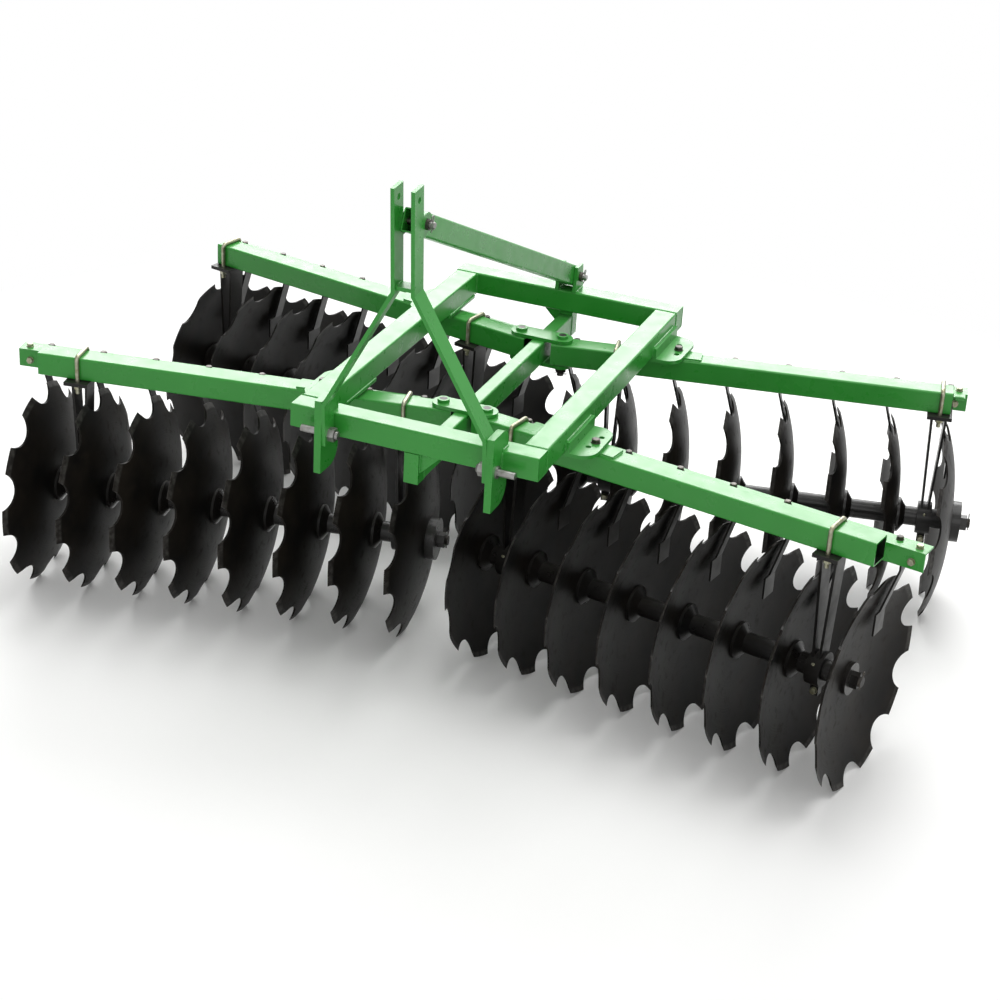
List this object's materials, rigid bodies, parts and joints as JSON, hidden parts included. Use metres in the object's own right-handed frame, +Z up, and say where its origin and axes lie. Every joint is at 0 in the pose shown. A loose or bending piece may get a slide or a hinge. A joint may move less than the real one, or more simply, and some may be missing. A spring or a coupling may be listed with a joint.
{
  "type": "mounted tandem disc harrow",
  "caption": "Three-point mounted tandem disc harrow: box frame with mast over four angled gangs of notched concave discs on square axles.",
  "frame": {"origin": "on the ground under the middle of the machine", "axes": "+X to the right of someone in front of the hitch who looks at the machine, +Y to the rear away from the hitch, +Z up"},
  "size_m": [3.0056, 1.7884, 1.6735],
  "materials": {
    "frame_green": "gloss",
    "black_paint": "satin",
    "black_cast": "satin",
    "disc_steel": "satin",
    "zinc_steel": "satin"
  },
  "bodies": {
    "frame": {"front_tube": "frame_green", "rear_tube": "frame_green", "side_tube_left": "frame_green", "side_tube_right": "frame_green", "spine": "frame_green", "posts": "frame_green", "pivot_plates": "frame_green", "pivot_pins": "zinc_steel", "angle_plates": "frame_green", "hitch_brackets": "frame_green", "hitch_pins": "zinc_steel", "mast_bars": "frame_green", "mast_spacer": "frame_green", "brace": "frame_green", "brace_pins": "zinc_steel", "rear_clevis": "frame_green"},
    "gang_beam_front_left": {"beam_front_left": "frame_green", "u_bolts_front_left": "zinc_steel", "hangers_front_left": "black_paint", "scraper_bar_front_left": "frame_green", "scrapers_front_left": "black_paint"},
    "disc_gang_front_left": {"discs_front_left": "disc_steel", "spools_front_left": "black_cast", "axle_front_left": "black_paint"},
    "gang_beam_front_right": {"beam_front_right": "frame_green", "u_bolts_front_right": "zinc_steel", "hangers_front_right": "black_paint", "scraper_bar_front_right": "frame_green", "scrapers_front_right": "black_paint"},
    "disc_gang_front_right": {"discs_front_right": "disc_steel", "spools_front_right": "black_cast", "axle_front_right": "black_paint"},
    "gang_beam_rear_left": {"beam_rear_left": "frame_green", "u_bolts_rear_left": "zinc_steel", "hangers_rear_left": "black_paint", "scraper_bar_rear_left": "frame_green", "scrapers_rear_left": "black_paint"},
    "disc_gang_rear_left": {"discs_rear_left": "disc_steel", "spools_rear_left": "black_cast", "axle_rear_left": "black_paint"},
    "gang_beam_rear_right": {"beam_rear_right": "frame_green", "u_bolts_rear_right": "zinc_steel", "hangers_rear_right": "black_paint", "scraper_bar_rear_right": "frame_green", "scrapers_rear_right": "black_paint"},
    "disc_gang_rear_right": {"discs_rear_right": "disc_steel", "spools_rear_right": "black_cast", "axle_rear_right": "black_paint"}
  },
  "joints": [
    {"name": "front_left_gang_angle", "type": "hinge", "parent": "frame", "child": "gang_beam_front_left", "pos_m": [-0.073, -0.34398, 0.75808], "axis": [0, 0, 1], "range_deg": [-6, 6]},
    {"name": "front_left_gang_spin", "type": "hinge", "parent": "gang_beam_front_left", "child": "disc_gang_front_left", "pos_m": [-0.71313, -0.45685, 0.32458], "axis": [0.9848, 0.1736, 0], "continuous": true},
    {"name": "front_right_gang_angle", "type": "hinge", "parent": "frame", "child": "gang_beam_front_right", "pos_m": [0.073, -0.34398, 0.75808], "axis": [0, 0, -1], "range_deg": [-6, 6]},
    {"name": "front_right_gang_spin", "type": "hinge", "parent": "gang_beam_front_right", "child": "disc_gang_front_right", "pos_m": [0.71313, -0.45685, 0.32458], "axis": [0.9848, -0.1736, 0], "continuous": true},
    {"name": "rear_left_gang_angle", "type": "hinge", "parent": "frame", "child": "gang_beam_rear_left", "pos_m": [-0.073, 0.30902, 0.75808], "axis": [0, 0, -1], "range_deg": [-6, 6]},
    {"name": "rear_left_gang_spin", "type": "hinge", "parent": "gang_beam_rear_left", "child": "disc_gang_rear_left", "pos_m": [-0.77659, 0.45216, 0.32458], "axis": [0.9799, -0.1994, 0], "continuous": true},
    {"name": "rear_right_gang_angle", "type": "hinge", "parent": "frame", "child": "gang_beam_rear_right", "pos_m": [0.073, 0.30902, 0.75808], "axis": [0, 0, 1], "range_deg": [-6, 6]},
    {"name": "rear_right_gang_spin", "type": "hinge", "parent": "gang_beam_rear_right", "child": "disc_gang_rear_right", "pos_m": [0.77659, 0.45216, 0.32458], "axis": [0.9799, 0.1994, 0], "continuous": true}
  ]
}
